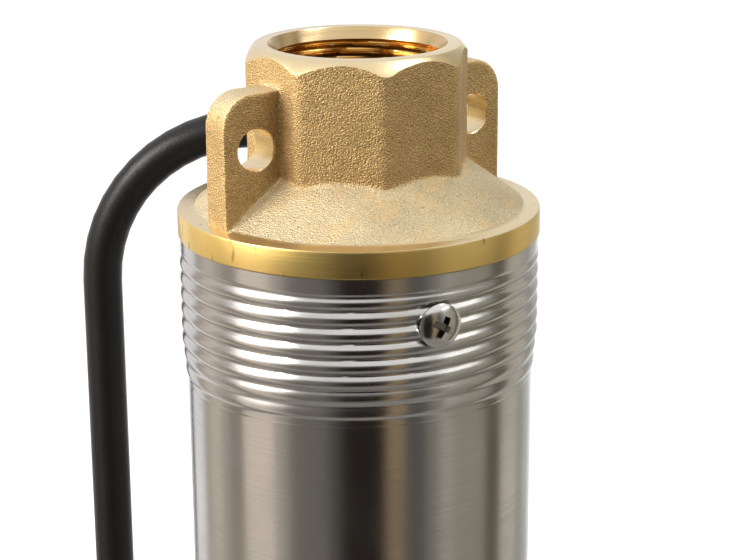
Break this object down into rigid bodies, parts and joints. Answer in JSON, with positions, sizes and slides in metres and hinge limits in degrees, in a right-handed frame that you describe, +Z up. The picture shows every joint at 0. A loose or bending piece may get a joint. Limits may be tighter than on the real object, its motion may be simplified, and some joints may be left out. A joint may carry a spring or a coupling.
{
  "type": "borehole submersible pump",
  "caption": "Slim upright borehole submersible pump: cast brass discharge head with lifting lugs, rolled-thread steel casing, strainer, long motor and a coiled supply cable.",
  "frame": {"origin": "centre of the base, on the shaft axis, under the bottom cover", "axes": "+Z up the shaft towards the discharge mouth, -Y towards the side with the locking screw, +X to the right seen from there"},
  "size_m": [0.264, 0.1809, 0.642],
  "materials": {
    "cast_brass": "sand cast, with turned faces",
    "rolled_steel": "brushed round the tube, rolled thread polished",
    "motor_steel": "brushed round the tube",
    "bright_screw": "bright nickel plate",
    "shaft_steel": "ground",
    "lamination_steel": "varnished laminations",
    "copper_winding": "enamelled copper",
    "cast_aluminium": "die cast",
    "stage_resin": "moulded, glass filled",
    "seal_rubber": "moulded",
    "seal_ceramic": "lapped",
    "cable_rubber": "smooth sheath",
    "tie_plastic": "moulded",
    "core_sheath": "insulated cores"
  },
  "bodies": {
    "pump": {"discharge_head": "cast_brass", "discharge_boss": "cast_brass", "discharge_lugs": "cast_brass", "suction_bracket": "cast_brass", "motor_bracket": "cast_brass", "bottom_cover": "cast_brass", "valve_seat": "cast_brass", "pump_casing": "rolled_steel", "motor_casing": "motor_steel", "inlet_strainer": "motor_steel", "cable_guard": "motor_steel", "diaphragm_cap": "motor_steel", "locking_screws": "bright_screw", "guard_screws": "bright_screw", "cap_screws": "bright_screw", "bracket_studs": "bright_screw", "stud_nuts": "bright_screw", "oil_plug": "bright_screw", "cable_gland": "bright_screw", "valve_spring": "shaft_steel", "bearing_outer_races": "shaft_steel", "stator_core": "lamination_steel", "stator_windings": "copper_winding", "diffuser_1": "stage_resin", "diffuser_2": "stage_resin", "diffuser_3": "stage_resin", "diffuser_4": "stage_resin", "diffuser_5": "stage_resin", "top_bearing_spider": "stage_resin", "valve_guide": "stage_resin", "head_seal_ring": "seal_rubber", "top_bearing_bush": "seal_rubber", "motor_seal_rings": "seal_rubber", "diaphragm": "seal_rubber", "shaft_seal_seat": "seal_ceramic", "motor_lead": "cable_rubber", "cable_drop": "cable_rubber", "cable_coil": "cable_rubber", "cable_tail": "cable_rubber", "cable_ties": "tie_plastic", "core_wires": "core_sheath"},
    "rotor": {"motor_shaft": "shaft_steel", "rotor_core": "lamination_steel", "rotor_end_rings": "cast_aluminium", "bearing_inner_races": "shaft_steel", "bearing_balls": "shaft_steel", "shaft_seal_ring": "seal_rubber", "shaft_coupling": "shaft_steel", "pump_shaft": "shaft_steel", "shaft_sleeve": "shaft_steel", "shaft_nut": "bright_screw", "impeller_1": "stage_resin", "impeller_2": "stage_resin", "impeller_3": "stage_resin", "impeller_4": "stage_resin", "impeller_5": "stage_resin"},
    "valve": {"valve_poppet": "stage_resin", "valve_gasket": "seal_rubber"}
  },
  "joints": [
    {"name": "shaft_spin", "type": "hinge", "parent": "pump", "child": "rotor", "pos_m": [0, 0, 0.3], "axis": [0, 0, 1], "continuous": true},
    {"name": "valve_lift", "type": "slide", "parent": "pump", "child": "valve", "axis": [0, 0, 1], "range_m": [0, 0.008], "stiffness_N_per_m": 150, "springref_m": -0.012, "deforming": ["valve_spring"]}
  ]
}
